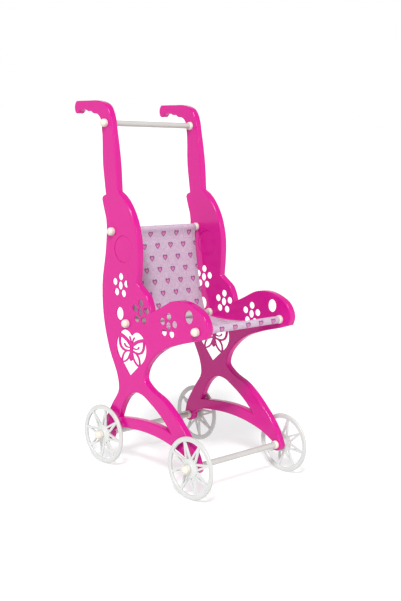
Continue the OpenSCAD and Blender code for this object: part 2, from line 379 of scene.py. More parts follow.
@dataclass(frozen=True)
class PrintedCotton:
    """Plain-woven cotton in heathered lilac, printed with staggered rows of small hearts.

    The two yarns differ a little in colour, so the cloth looks flecked. The real yarns lie 0.45 mm
    apart, and they are drawn at twice that so that the weave shows. The print is flat dye, so
    it takes the weave with it.
    """

    colour: str = "#B29BB0"
    colour_pale: str = "#BCAEBB"
    colour_fleck: str = "#A0869D"
    print_dark: str = "#6E2A62"
    print_light: str = "#C0629C"
    yarn_mm: float = 0.9
    row_mm: float = 18.4
    column_mm: float = 27.0
    first_row_mm: float = 16.8
    first_column_mm: float = 7.0
    heart_mm: float = 9.8

    def _heart_field(self, tree: bpy.types.NodeTree, mm: bpy.types.NodeSocket) -> bpy.types.NodeSocket:
        """Field that is under 1 inside the printed hearts.

        Args:
            tree: Node tree of the cloth.
            mm: Place on the flat cloth in millimetres, as (across, along, 0).

        Returns:
            Socket with the field.
        """
        split = add_node(tree, "ShaderNodeSeparateXYZ", {"Vector": mm})
        row = add_node(
            tree,
            "ShaderNodeMath",
            {0: split.outputs["Y"], 1: 1 / self.row_mm, 2: 0.5 - self.first_row_mm / self.row_mm},
            operation="MULTIPLY_ADD",
        ).outputs["Value"]
        row_number = add_node(tree, "ShaderNodeMath", {0: row}, operation="FLOOR").outputs["Value"]
        half_step = add_node(
            tree, "ShaderNodeMath", {0: row_number, 1: 0.5, 2: 0.5 - self.first_column_mm / self.column_mm},
            operation="MULTIPLY_ADD",
        ).outputs["Value"]
        column = add_node(
            tree,
            "ShaderNodeMath",
            {0: split.outputs["X"], 1: 1 / self.column_mm, 2: half_step},
            operation="MULTIPLY_ADD",
        ).outputs["Value"]
        across = add_node(tree, "ShaderNodeMath", {0: column}, operation="FRACT").outputs["Value"]
        along = add_node(tree, "ShaderNodeMath", {0: row}, operation="FRACT").outputs["Value"]
        across_size, along_size = 2 * self.column_mm / self.heart_mm, 2 * self.row_mm / self.heart_mm
        x = add_node(
            tree, "ShaderNodeMath", {0: across, 1: across_size, 2: -across_size / 2}, operation="MULTIPLY_ADD"
        ).outputs["Value"]
        y = add_node(
            tree, "ShaderNodeMath", {0: along, 1: -along_size, 2: along_size / 2}, operation="MULTIPLY_ADD"
        ).outputs["Value"]
        # A heart is the disc x^2 + (1.25 y - sqrt|x|)^2 < 1.
        half = add_node(tree, "ShaderNodeMath", {0: x}, operation="ABSOLUTE").outputs["Value"]
        root = add_node(tree, "ShaderNodeMath", {0: half}, operation="SQRT").outputs["Value"]
        raised = add_node(tree, "ShaderNodeMath", {0: root, 1: -0.85}, operation="MULTIPLY").outputs["Value"]
        lifted = add_node(
            tree, "ShaderNodeMath", {0: y, 1: 1.2, 2: raised}, operation="MULTIPLY_ADD"
        ).outputs["Value"]
        flat = add_node(tree, "ShaderNodeCombineXYZ", {"X": half, "Y": lifted})
        return add_node(
            tree, "ShaderNodeVectorMath", {0: flat.outputs["Vector"]}, operation="LENGTH"
        ).outputs["Value"]

    def material(self) -> bpy.types.Material:
        """Builds the material. It reads the cloth's own UV map, which is in metres on the flat cut."""
        material, tree, shader = blank_material("printed_plain_weave_cotton")
        place = add_node(tree, "ShaderNodeUVMap", uv_map="cut").outputs["UV"]
        mm = add_node(
            tree, "ShaderNodeVectorMath", {0: place, 1: (1000.0, 1000.0, 1000.0)}, operation="MULTIPLY"
        ).outputs["Vector"]
        warp_place = add_node(tree, "ShaderNodeMapping", {"Vector": mm, "Scale": (1 / self.yarn_mm, 0.12, 1.0)})
        weft_place = add_node(tree, "ShaderNodeMapping", {"Vector": mm, "Scale": (0.12, 1 / self.yarn_mm, 1.0)})
        warp = add_node(
            tree, "ShaderNodeTexNoise", {"Vector": warp_place.outputs["Vector"], "Scale": 1.0, "Detail": 2.0}
        )
        weft = add_node(
            tree, "ShaderNodeTexNoise", {"Vector": weft_place.outputs["Vector"], "Scale": 1.0, "Detail": 2.0}
        )
        pale = add_node(
            tree,
            "ShaderNodeMapRange",
            {"Value": warp.outputs["Fac"], "From Min": 0.42, "From Max": 0.68},
        ).outputs["Result"]
        fleck = add_node(
            tree,
            "ShaderNodeMapRange",
            {"Value": weft.outputs["Fac"], "From Min": 0.45, "From Max": 0.72, "To Max": 0.8},
        ).outputs["Result"]
        ground = add_node(
            tree,
            "ShaderNodeMix",
            {"Factor": pale, "A": linear(self.colour), "B": linear(self.colour_pale)},
            data_type="RGBA",
        ).outputs["Result"]
        heathered = add_node(
            tree, "ShaderNodeMix", {"Factor": fleck, "A": ground, "B": linear(self.colour_fleck)}, data_type="RGBA"
        ).outputs["Result"]
        field = self._heart_field(tree, mm)
        inside = add_node(
            tree, "ShaderNodeMapRange", {"Value": field, "From Min": 1.02, "From Max": 0.94}
        ).outputs["Result"]
        middle = add_node(
            tree, "ShaderNodeMapRange", {"Value": field, "From Min": 0.62, "From Max": 0.52}
        ).outputs["Result"]
        dye = add_node(
            tree,
            "ShaderNodeMix",
            {"Factor": middle, "A": linear(self.print_dark), "B": linear(self.print_light)},
            data_type="RGBA",
        ).outputs["Result"]
        soaked = add_node(
            tree, "ShaderNodeMath", {0: inside, 1: 0.92}, operation="MULTIPLY"
        ).outputs["Value"]
        printed = add_node(
            tree, "ShaderNodeMix", {"Factor": soaked, "A": heathered, "B": dye}, data_type="RGBA"
        ).outputs["Result"]
        tree.links.new(printed, shader.inputs["Base Color"])
        # Over and under of the weave: a wave across times a wave along.
        split = add_node(tree, "ShaderNodeSeparateXYZ", {"Vector": mm})
        turn = math.pi / self.yarn_mm
        wave = []
        for axis in ("X", "Y"):
            angle = add_node(
                tree, "ShaderNodeMath", {0: split.outputs[axis], 1: turn}, operation="MULTIPLY"
            ).outputs["Value"]
            wave.append(add_node(tree, "ShaderNodeMath", {0: angle}, operation="SINE").outputs["Value"])
        crossing = add_node(
            tree, "ShaderNodeMath", {0: wave[0], 1: wave[1]}, operation="MULTIPLY"
        ).outputs["Value"]
        slub = add_node(tree, "ShaderNodeTexNoise", {"Vector": mm, "Scale": 0.22, "Detail": 3.0})
        woven = add_node(
            tree, "ShaderNodeBump", {"Height": crossing, "Strength": 0.5, "Distance": 0.12 * MM}
        )
        rumpled = add_node(
            tree,
            "ShaderNodeBump",
            {"Height": slub.outputs["Fac"], "Strength": 0.5, "Distance": 0.5 * MM, "Normal": woven.outputs["Normal"]},
        )
        tree.links.new(rumpled.outputs["Normal"], shader.inputs["Normal"])
        shader.inputs["Roughness"].default_value = 0.85
        shader.inputs["Subsurface Weight"].default_value = 0.35
        shader.inputs["Subsurface Radius"].default_value = (1.0, 0.85, 1.0)
        shader.inputs["Subsurface Scale"].default_value = 1.5 * MM
        shader.inputs["Sheen Weight"].default_value = 0.25
        shader.inputs["Sheen Roughness"].default_value = 0.5
        shader.inputs["Specular IOR Level"].default_value = 0.3
        return material


@dataclass(frozen=True)
class SewingThread:
    """Spun polyester sewing thread in lilac, twisted from fine strands, with a soft shine."""

    colour: str = "#AC84A6"
    twist_mm: float = 0.5

    def material(self) -> bpy.types.Material:
        """Builds the material."""
        material, tree, shader = blank_material("spun_polyester_thread")
        place = add_node(tree, "ShaderNodeTexCoord").outputs["Object"]
        twist = add_node(
            tree, "ShaderNodeTexNoise", {"Vector": place, "Scale": per_metre(self.twist_mm), "Detail": 2.0}
        )
        tint = add_node(
            tree,
            "ShaderNodeMix",
            {"Factor": twist.outputs["Fac"], "A": linear("#9C7096"), "B": linear(self.colour)},
            data_type="RGBA",
        )
        tree.links.new(tint.outputs["Result"], shader.inputs["Base Color"])
        bump = add_node(
            tree, "ShaderNodeBump", {"Height": twist.outputs["Fac"], "Strength": 0.5, "Distance": 0.1 * MM}
        )
        tree.links.new(bump.outputs["Normal"], shader.inputs["Normal"])
        shader.inputs["Roughness"].default_value = 0.55
        shader.inputs["Sheen Weight"].default_value = 0.2
        return material


@dataclass(frozen=True)
class StudioPaper:
    """Seamless white background paper, matt. Light comes through it a little from below."""

    colour: str = "#C8C8C8"
    glow: float = 0.85

    def material(self) -> bpy.types.Material:
        """Builds the material."""
        material, tree, shader = blank_material("studio_paper")
        place = add_node(tree, "ShaderNodeTexCoord").outputs["Object"]
        fibre = add_node(tree, "ShaderNodeTexNoise", {"Vector": place, "Scale": per_metre(3.0), "Detail": 2.0})
        tint = add_node(
            tree,
            "ShaderNodeMix",
            {"Factor": fibre.outputs["Fac"], "A": linear("#C4C4C4"), "B": linear(self.colour)},
            data_type="RGBA",
        )
        tree.links.new(tint.outputs["Result"], shader.inputs["Base Color"])
        shader.inputs["Roughness"].default_value = 0.9
        shader.inputs["Specular IOR Level"].default_value = 0.2
        shader.inputs["Emission Color"].default_value = linear(self.colour)
        shader.inputs["Emission Strength"].default_value = self.glow
        return material


# ---- mesh helpers ----


def finish_piece(
    bm: bmesh.types.BMesh, name: str, material: bpy.types.Material, body: str, sharp_deg: float = 40.0
) -> bpy.types.Object:
    """Turns a bmesh into a finished piece that rides on a body.

    Args:
        bm: The piece's mesh, in place. It is freed.
        name: Name of the piece.
        material: Its material.
        body: CAD body that it rides on.
        sharp_deg: Edges that turn more than this stay sharp.

    Returns:
        The new object.
    """
    for face in bm.faces:
        face.smooth = True
    for edge in bm.edges:
        if edge.calc_face_angle(0.0) > math.radians(sharp_deg):
            edge.smooth = False
    mesh = bpy.data.meshes.new(name)
    bm.to_mesh(mesh)
    bm.free()
    mesh.materials.append(material)
    piece = bpy.data.objects.new(name, mesh)
    bpy.context.scene.collection.objects.link(piece)
    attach(piece, body)
    LOG.info("%s: %d faces, rides on %s", name, len(mesh.polygons), body)
    return piece


def even_shading(piece: bpy.types.Object) -> None:
    """Lets the large flat faces set the shading of the rounded edges beside them."""
    modifier = piece.modifiers.new("even_shading", "WEIGHTED_NORMAL")
    modifier.mode = "FACE_AREA"
    modifier.weight = 80
    modifier.keep_sharp = True


def merged_copy(node: str) -> bmesh.types.BMesh:
    """Copy of a CAD node's mesh, with its loose triangles merged into one closed skin.

    Args:
        node: Name of the CAD node.

    Returns:
        The copy, whose flat faces are single polygons.
    """
    bm = bmesh.new()
    bm.from_mesh(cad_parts[node].data)
    bmesh.ops.remove_doubles(bm, verts=bm.verts, dist=0.02 * MM)
    bmesh.ops.dissolve_limit(bm, angle_limit=math.radians(0.5), verts=bm.verts, edges=bm.edges)
    return bm


def axis_of(node: str) -> tuple[float, float, float]:
    """Axis and radius of a CAD node that was turned about a line along X.

    Args:
        node: Name of the CAD node.

    Returns:
        The axis's Y and Z, and the node's radius.
    """
    low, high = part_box(node)
    return (low.y + high.y) / 2, (low.z + high.z) / 2, (high.z - low.z) / 2


def span_of(node: str, side: Side) -> tuple[float, float]:
    """How far from the middle plane a node starts and ends, on its own side.

    Args:
        node: Name of the CAD node.
        side: Side of the stroller that it is on.

    Returns:
        Distance of its inner and its outer end.
    """
    low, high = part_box(node)
    ends = sorted((side.value * low.x, side.value * high.x))
    return ends[0], ends[1]


def arc(
    centre: tuple[float, float], radii: tuple[float, float], start_deg: float, end_deg: float, steps: int
) -> list[tuple[float, float]]:
    """Points along an arc of an ellipse, ends included.

    Args:
        centre: Centre of the ellipse.
        radii: Its radius along the first and the second coordinate.
        start_deg: Angle of the first point.
        end_deg: Angle of the last point.
        steps: Number of stretches between points.

    Returns:
        The points.
    """
    angles = [math.radians(start_deg + (end_deg - start_deg) * i / steps) for i in range(steps + 1)]
    return [(centre[0] + radii[0] * math.cos(a), centre[1] + radii[1] * math.sin(a)) for a in angles]


def turned(profile: list[tuple[float, float]], axis: tuple[float, float], side: Side, ring: bool) -> bmesh.types.BMesh:
    """Spins a profile round a line along X.

    Args:
        profile: Points as (radius, distance from the middle plane), in metres.
        axis: Y and Z of the line.
        side: Side of the stroller that the part is on.
        ring: True where the profile closes on itself and leaves a hole on the axis.

    Returns:
        The closed mesh.
    """
    bm = bmesh.new()
    verts = [bm.verts.new((side.value * along, axis[0], axis[1] + radius)) for radius, along in profile]
    edges = [bm.edges.new(pair) for pair in zip(verts, verts[1:])]
    if ring:
        edges.append(bm.edges.new((verts[-1], verts[0])))
    bmesh.ops.spin(
        bm,
        geom=verts + edges,
        cent=(0.0, axis[0], axis[1]),
        axis=(1.0, 0.0, 0.0),
        dvec=(0.0, 0.0, 0.0),
        angle=2 * math.pi,
        steps=56,
        use_merge=True,
    )
    bmesh.ops.remove_doubles(bm, verts=bm.verts, dist=0.005 * MM)
    bmesh.ops.recalc_face_normals(bm, faces=bm.faces)
    return bm


# ---- side panels ----


@dataclass
class FlatLoop:
    """Closed loop of sharp edges in one plane of a panel."""

    edges: list[bmesh.types.BMEdge]
    span: float
    wall: float


@dataclass
class SidePanel:
    """Moulded side panel: handle grip, arm, legs and cut-out windows, with rounded edges."""

    side: Side
    outline_round: float = 1.9 * MM
    window_round: float = 0.35 * MM
    groove_width: float = 1.5 * MM
    groove_depth: float = 0.9 * MM
    disc_depth: float = 0.15 * MM
    back_round: float = 0.6 * MM
    bore_size: float = 10 * MM

    @property
    def node(self) -> str:
        """Name of the panel's CAD node."""
        return f"{self.side.label}_side_panel"

    def _loops(self, bm: bmesh.types.BMesh, x: float) -> list[FlatLoop]:
        """Finds the loops of sharp edges in one plane.

        Args:
            bm: The panel's mesh.
            x: X of the plane.

        Returns:
            The loops, with their size and the depth of the wall behind them.
        """
        sharp = [
            e
            for e in bm.edges
            if all(abs(v.co.x - x) < 1e-6 for v in e.verts) and e.calc_face_angle(0.0) > math.radians(35)
        ]
        joined = defaultdict(list)
        for edge in sharp:
            for vert in edge.verts:
                joined[vert].append(edge)
        seen = set()
        loops = []
        for start in joined:
            if start in seen:
                continue
            waiting, verts, edges = [start], [], set()
            while waiting:
                vert = waiting.pop()
                if vert in seen:
                    continue
                seen.add(vert)
                verts.append(vert)
                for edge in joined[vert]:
                    edges.add(edge)
                    waiting.append(edge.other_vert(vert))
            span = max(max(v.co[i] for v in verts) - min(v.co[i] for v in verts) for i in (1, 2))
            wall = max(max(v.co.x for v in f.verts) - min(v.co.x for v in f.verts) for f in verts[0].link_faces)
            loops.append(FlatLoop(list(edges), span, wall))
        return loops

    def _rounding(self, loop: FlatLoop) -> float:
        """Radius for a loop on the flat face. It is 0 at a bar's bore and at the label recess."""
        if loop.wall < 1 * MM or (loop.span < self.bore_size and loop.wall > 5 * MM):
            return 0.0
        return self.outline_round if loop.wall > 5 * MM else self.window_round

    def _round(self, bm: bmesh.types.BMesh, edges: list[bmesh.types.BMEdge], radius: float, segments: int) -> None:
        """Rounds some edges of the panel."""
        bmesh.ops.bevel(
            bm,
            geom=edges,
            offset=radius,
            offset_type="OFFSET",
            affect="EDGES",
            segments=segments,
            profile=0.5,
            material=-1,
            clamp_overlap=False,
            loop_slide=False,
        )

    def _groove_recess(self, bm: bmesh.types.BMesh, x: float) -> None:
        """Turns the step of the label recess into a groove round a nearly flush disc.

        Args:
            bm: The panel's mesh.
            x: X of the panel's flat face.
        """
        disc = [f for f in bm.faces if all(0.1 * MM < v.co.x - x < 1 * MM for v in f.verts)]
        bmesh.ops.inset_region(bm, faces=disc, thickness=self.groove_width, use_even_offset=True)
        inner = {v for f in disc for v in f.verts}
        outer = {e.other_vert(v) for v in inner for e in v.link_edges} - inner
        for vert in inner:
            vert.co.x = x + self.disc_depth
        for vert in outer:
            vert.co.x = x + self.groove_depth
        rings = {e for v in inner | outer for e in v.link_edges}
        for edge in rings:
            if edge.calc_face_angle(0.0) > math.radians(8):
                edge.smooth = False

    def build(self, material: bpy.types.Material) -> bpy.types.Object:
        """Builds the panel.

        Args:
            material: The panels' plastic.

        Returns:
            The finished piece.
        """
        bm = merged_copy(self.node)
        low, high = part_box(self.node)
        self._groove_recess(bm, low.x)
        for radius, segments in ((self.outline_round, 4), (self.window_round, 2)):
            picked = [e for loop in self._loops(bm, low.x) if self._rounding(loop) == radius for e in loop.edges]
            self._round(bm, picked, radius, segments)
        behind = [e for loop in self._loops(bm, high.x) if loop.span > self.bore_size * 2 for e in loop.edges]
        self._round(bm, behind, self.back_round, 2)
        piece = finish_piece(bm, f"panel_{self.side.label}", material, FRAME_BODY, 33.0)
        even_shading(piece)
        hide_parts(self.node)
        return piece


# ---- cross-bars ----


@dataclass
class TubeEnds:
    """Parts that are turned round a tube: the tube, its domed collars and its domed caps."""

    name: str
    enamel: bpy.types.Material
    cream: bpy.types.Material
    chamfer: float = 0.25 * MM
    tube_wall: float = 0.8 * MM
    gate_radius: float = 1.1 * MM
    gate_depth: float = 0.25 * MM

    @property
    def tube_node(self) -> str:
        """Name of the tube's CAD node."""
        return self.name

    def tube(self) -> bpy.types.Object:
        """Builds the tube, a ring with broken edges."""
        y, z, radius = axis_of(self.tube_node)
        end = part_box(self.tube_node)[1].x
        bore, cut = radius - self.tube_wall, self.chamfer
        profile = [(bore, -end), (radius - cut, -end), (radius, -end + cut)]
        profile += [(radius, end * k / 4) for k in (-2, 0, 2)]
        profile += [(radius, end - cut), (radius - cut, end), (bore, end)]
        bm = turned(profile, (y, z), Side.RIGHT, ring=True)
        piece = finish_piece(bm, f"{self.name}_enamelled", self.enamel, FRAME_BODY)
        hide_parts(self.tube_node)
        return piece

    def collar(self, side: Side) -> bpy.types.Object:
        """Builds the domed collar on one side, which hides the joint of tube and panel.

        Args:
            side: Side of the stroller.

        Returns:
            The finished piece.
        """
        node = f"{self.name}_collar_{side.label}"
        y, z, radius = axis_of(node)
        bar = axis_of(self.tube_node)[2]
        start, end = span_of(node, side)
        dome, cut = end - start - 0.9 * MM, self.chamfer
        profile = [(bar, start)]
        profile += arc((bar + 0.4 * MM, start + dome), (radius - bar - 0.4 * MM, dome), -90, 0, 10)
        profile += [(radius, end - cut), (radius - cut, end), (bar, end)]
        bm = turned(profile, (y, z), side, ring=True)
        piece = finish_piece(bm, f"{self.name}_bush_{side.label}", self.cream, FRAME_BODY)
        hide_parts(node)
        return piece

    def cap(self, side: Side, node: str, seat: float) -> bpy.types.Object:
        """Builds the domed cap that plugs into one end of the tube.

        Args:
            side: Side of the stroller.
            node: Name of the cap's CAD node.
            seat: Distance from the middle plane of the face that the head sits against.

        Returns:
            The finished piece, with the mark of its moulding gate in the crown.
        """
        y, z, radius = axis_of(node)
        bar = axis_of(self.tube_node)[2]
        tube_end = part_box(self.tube_node)[1].x
        plug = bar - self.tube_wall
        start, tip = span_of(node, side)
        dome, cut = radius * 0.8, self.chamfer
        profile = [(0.0, start), (plug - 2 * cut, start), (plug, start + 2 * cut), (plug, tube_end), (bar, tube_end)]
        profile += [(bar, seat), (radius - cut, seat), (radius, seat + cut)]
        crown = arc((0.0, tip - dome), (radius, dome), 0, 90, 14)
        profile += [point for point in crown if point[0] > 1.5 * self.gate_radius]
        profile += [(self.gate_radius * 1.2, tip - 0.02 * MM), (self.gate_radius, tip - self.gate_depth)]
        profile += [(0.0, tip - self.gate_depth)]
        bm = turned(profile, (y, z), side, ring=False)
        piece = finish_piece(bm, node.replace("cap", "domed_cap"), self.cream, FRAME_BODY)
        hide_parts(node)
        return piece


@dataclass
class CrossBar(TubeEnds):
    """Cross-bar between the panels, with its collars and caps."""

    def build(self) -> None:
        """Builds the bar, its two collars and its two caps."""
        self.tube()
        for side in Side:
            self.collar(side)
            seat = span_of(f"{side.label}_side_panel", side)[1]
            self.cap(side, f"{self.name}_cap_{side.label}", seat)


# ---- axles and wheels ----


@dataclass
class WheelAxle(TubeEnds):
    """Axle tube with its collars, washers, two spoked wheels and hub caps."""

    white: bpy.types.Material | None = None
    wheel_round: float = 0.45 * MM
    tread_band: float = 2.2 * MM
    hub_play: float = 0.3 * MM

    @property
    def tube_node(self) -> str:
        """Name of the axle tube's CAD node."""
        return f"{self.name}_tube"

    def washer(self, side: Side) -> bpy.types.Object:
        """Builds the washer between panel and hub.

        Args:
            side: Side of the stroller.

        Returns:
            The finished piece.
        """
        node = f"{self.name}_washer_{side.label}"
        y, z, radius = axis_of(node)
        bore = axis_of(self.tube_node)[2] + 0.2 * MM
        start, end = span_of(node, side)
        cut = self.chamfer
        profile = [(bore, start), (radius - cut, start), (radius, start + cut)]
        profile += [(radius, end - cut), (radius - cut, end), (bore, end)]
        bm = turned(profile, (y, z), side, ring=True)
        piece = finish_piece(bm, f"{self.name}_spacer_{side.label}", self.white, FRAME_BODY)
        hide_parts(node)
        return piece

    def wheel(self, side: Side) -> bpy.types.Object:
        """Builds one wheel: rim, star of thin spokes and dished hub, all edges rounded.

        Args:
            side: Side of the stroller.

        Returns:
            The finished piece, with its "tread" attribute.
        """
        node = f"{self.name}_wheel_{side.label}"
        y, z, radius = axis_of(node)
        bm = merged_copy(node)
        sharp = [e for e in bm.edges if e.is_manifold and e.calc_face_angle(0.0) > math.radians(35)]
        bmesh.ops.bevel(
            bm,
            geom=sharp,
            offset=self.wheel_round,
            offset_type="OFFSET",
            affect="EDGES",
            segments=2,
            profile=0.5,
            material=-1,
            clamp_overlap=True,
            loop_slide=True,
        )
        tread = bm.verts.layers.float.new("tread")
        for vert in bm.verts:
            from_axis = math.hypot(vert.co.y - y, vert.co.z - z)
            vert[tread] = min(1.0, max(0.0, 1 + (from_axis - radius) / self.tread_band))
        body = f"{self.name.split('_')[0]}_{side.label}_wheel"
        piece = finish_piece(bm, f"{self.name}_spoked_wheel_{side.label}", self.white, body, 33.0)
        even_shading(piece)
        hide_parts(node)
        return piece

    def build(self) -> None:
        """Builds the axle and everything on it."""
        self.tube()
        for side in Side:
            self.collar(side)
            self.washer(side)
            self.wheel(side)
            hub_end = span_of(f"{self.name}_wheel_{side.label}", side)[1]
            self.cap(side, f"{self.name}_hub_cap_{side.label}", hub_end + self.hub_play)


# ---- sling seat ----


@dataclass
class PathPoint:
    """Point of the cloth's side view."""

    y: float
    z: float
    held: float
    seam: bool = False


@dataclass
class SlingSeat:
    """Cloth sling: a sleeve on the backrest bar and the front bar, hung between them."""

    cloth: bpy.types.Material
    thread: bpy.types.Material
    thickness: float = 0.9 * MM
    bar_gap: float = 0.2 * MM
    seam_drop: float = 15.0 * MM
    turn_in: float = 5.0 * MM
    sleeve_half: float = 75.2 * MM
    back_half: float = 74.6 * MM
    seat_half: float = 70.5 * MM
    front_half: float = 73.5 * MM
    waist: float = 0.8 * MM
    hem_width: float = 6.5 * MM
    stitch_pitch: float = 3.4 * MM
    across_steps: int = 56

    def _round_bar(self, bar: str, start_deg: float, end_deg: float, steps: int) -> list[PathPoint]:
        """Points where the cloth wraps a bar. Angle 0 is forward and 90 is up.

        Args:
            bar: Node of the bar.
            start_deg: Angle of the first point.
            end_deg: Angle of the last point.
            steps: Number of stretches between points.

        Returns:
            The points, all held.
        """
        y, z, radius = axis_of(bar)
        reach = radius + self.bar_gap + self.thickness / 2
        return [PathPoint(y - a, z + b, 1.0) for a, b in arc((0, 0), (reach, reach), start_deg, end_deg, steps)]

    def _span(self, start: PathPoint, end: PathPoint, sag: float, steps: int, held_mm: float) -> list[PathPoint]:
        """Points of a hanging stretch between two others, ends left out.

        Args:
            start: Point before the stretch.
            end: Point after it.
            sag: How far its middle bows out of line, to the left of the way along it.
            steps: Number of stretches between points.
            held_mm: Length beside each end that the sewing keeps in place.

        Returns:
            The points.
        """
        along = Vector((end.y - start.y, end.z - start.z))
        out = Vector((along.y, -along.x)).normalized()
        points = []
        for i in range(1, steps):
            t = i / steps
            place = Vector((start.y, start.z)) + along * t + out * (4 * sag * t * (1 - t))
            from_end = min(t, 1 - t) * along.length / MM
            points.append(PathPoint(place.x, place.y, max(0.0, 1 - from_end / held_mm)))
        return points

    def _path(self) -> list[PathPoint]:
        """Side view of the cloth, from the backrest sleeve's seam to the front sleeve's seam."""
        back = self._round_bar("backrest_bar", 200, -20, 14)
        under = self._round_bar("seat_rear_bar", 166, 276, 8)
        front = self._round_bar("seat_front_bar", 108, -112, 14)
        top_seam = self._seam_point("backrest_bar", under[0])
        end_seam = self._seam_point("seat_front_bar", under[-1])
        neck = self._span(back[-1], top_seam, -0.5 * MM, 6, 1000.0)
        down = self._span(top_seam, under[0], 2.6 * MM, 30, 9.0)
        seat = self._span(under[-1], end_seam, 3.6 * MM, 32, 9.0)
        nose = self._span(end_seam, front[0], -0.5 * MM, 6, 1000.0)
        first = self._turn_in(top_seam, down[0], back[0])
        last = self._turn_in(end_seam, seat[-1], front[-1])
        return [
            *first, *back, *neck, top_seam, *down, *under, *seat, end_seam, *nose, *front, *reversed(last)
        ]

    def _seam_point(self, bar: str, towards: PathPoint) -> PathPoint:
        """Point where a sleeve is sewn shut. It lies on the bar's line of pull.

        Args:
            bar: Node of the bar in the sleeve.
            towards: Point that the strip pulls towards.

        Returns:
            The point, which is held.
        """
        y, z, _ = axis_of(bar)
        pull = Vector((towards.y - y, towards.z - z)).normalized() * self.seam_drop
        return PathPoint(y + pull.x, z + pull.y, 1.0, seam=True)

    def _turn_in(self, seam: PathPoint, beyond: PathPoint, leave: PathPoint) -> list[PathPoint]:
        """Free end of a sleeve: from its edge, past the seam, and back up to the bar.

        Args:
            seam: Point of the strip that the end is sewn to.
            beyond: Next point of the strip, away from the bar.
            leave: Where the sleeve leaves the bar on the hidden side.

        Returns:
            The points, free edge first, all held.
        """
        run = Vector((beyond.y - seam.y, beyond.z - seam.z)).normalized()
        off = Vector((-run.y, run.x))
        back = Vector((leave.y - seam.y, leave.z - seam.z))
        if off.dot(back) < 0:
            off = -off
        sewn = Vector((seam.y, seam.z)) + off * (1.15 * self.thickness)
        edge = sewn + run * self.turn_in
        points = [PathPoint(edge.x, edge.y, 1.0), PathPoint(sewn.x, sewn.y, 1.0)]
        start = Vector((leave.y, leave.z))
        for i in range(1, 6):
            t = i / 6
            place = sewn.lerp(start, t) + off * (0.5 * MM * math.sin(math.pi * t))
            points.append(PathPoint(place.x, place.y, 1.0))
        return points

    def _half_width(self, share: float, lengths: tuple[float, float, float]) -> float:
        """Half of the cloth's width, which narrows between the bars.

        Args:
            share: Distance along the cut, from the backrest end.
            lengths: Distances of the backrest bar, the rear seat bar and the front seat bar.

        Returns:
            Half of the width there.
        """
        top, rear, front = lengths
        if share <= top:
            return self.sleeve_half
        if share <= rear:
            t = (share - top) / (rear - top)
            straight = self.sleeve_half + (self.back_half - self.sleeve_half) * t
            return straight - self.waist * math.sin(math.pi * t)
        if share <= front:
            t = (share - rear) / (front - rear)
            straight = self.back_half + (self.front_half - self.back_half) * t
            middle = (self.back_half + self.front_half) / 2
            return straight - (middle - self.seat_half) * math.sin(math.pi * t)
        return self.front_half

    def _grid(self) -> tuple[bpy.types.Object, float]:
        """Lays the flat cut along its path.

        Returns:
            The cloth before it is hung, with a "held" vertex group and a "cut" UV map in metres,
            and the length of the cut.
        """
        path = self._path()
        self._seam_rows = [i for i, p in enumerate(path) if p.seam]
        run = [0.0]
        for a, b in zip(path, path[1:]):
            run.append(run[-1] + math.hypot(b.y - a.y, b.z - a.z))
        marks = []
        for bar in ("backrest_bar", "seat_rear_bar", "seat_front_bar"):
            y, z, _ = axis_of(bar)
            nearest = min(range(len(path)), key=lambda i: math.hypot(path[i].y - y, path[i].z - z))
            marks.append(run[nearest])
        y, z, radius = axis_of("backrest_bar")
        wrap = run[min(range(len(path)), key=lambda i: math.hypot(path[i].y - y, path[i].z - z - 2 * radius))]
        bm = bmesh.new()
        columns, rows = self.across_steps, len(path) - 1
        bmesh.ops.create_grid(bm, x_segments=columns, y_segments=rows, size=1.0)
        uv = bm.loops.layers.uv.new("cut")
        held = bm.verts.layers.deform.verify()
        flat_place = {}
        for vert in bm.verts:
            column = (vert.co.x + 1) / 2
            row = round((vert.co.y + 1) / 2 * rows)
            point, length = path[row], run[row]
            half = self._half_width(length, (marks[0], marks[1], marks[2]))
            across = (2 * column - 1) * half
            flat_place[vert] = (across, length - wrap)
            loose = 1 - point.held
            ripple = noise.noise(Vector((across * 26, length * 20, 3.7))) * 0.7 * MM * loose
            vert.co = Vector((across, point.y + ripple * 0.5, point.z + ripple))
            vert[held][0] = point.held
        for face in bm.faces:
            for loop in face.loops:
                loop[uv].uv = flat_place[loop.vert]
        mesh = bpy.data.meshes.new("sling_cloth")
        bm.normal_update()
        lower = sum(f.normal.y for f in bm.faces if f.calc_center_median().z > 0.26)
        if lower > 0:
            bmesh.ops.reverse_faces(bm, faces=bm.faces)
        bm.to_mesh(mesh)
        bm.free()
        cloth = bpy.data.objects.new("sling_cloth", mesh)
        bpy.context.scene.collection.objects.link(cloth)
        cloth.vertex_groups.new(name="held")
        return cloth, run[-1]

    def _hang(self, cloth: bpy.types.Object) -> None:
        """Lets the cloth settle under its own weight between the sewn and wrapped stretches.

        Args:
            cloth: The laid-out cloth. Its mesh is replaced by the settled one.
        """
        modifier = cloth.modifiers.new("hang", "CLOTH")
        settings = modifier.settings
        settings.quality = 6
        settings.mass = 0.12
        settings.tension_stiffness = 40
        settings.compression_stiffness = 20
        settings.shear_stiffness = 10
        settings.bending_stiffness = 1.5
        settings.vertex_group_mass = "held"
        modifier.collision_settings.use_collision = False
        modifier.collision_settings.use_self_collision = False
        modifier.point_cache.frame_start = 1
        modifier.point_cache.frame_end = 24
        scene = bpy.context.scene
        for step in range(1, 25):
            scene.frame_set(step)
        settled = bpy.data.meshes.new_from_object(
            cloth.evaluated_get(bpy.context.evaluated_depsgraph_get()),
            preserve_all_data_layers=True,
            depsgraph=bpy.context.evaluated_depsgraph_get(),
        )
        cloth.modifiers.clear()
        cloth.data = settled
        scene.frame_set(1)

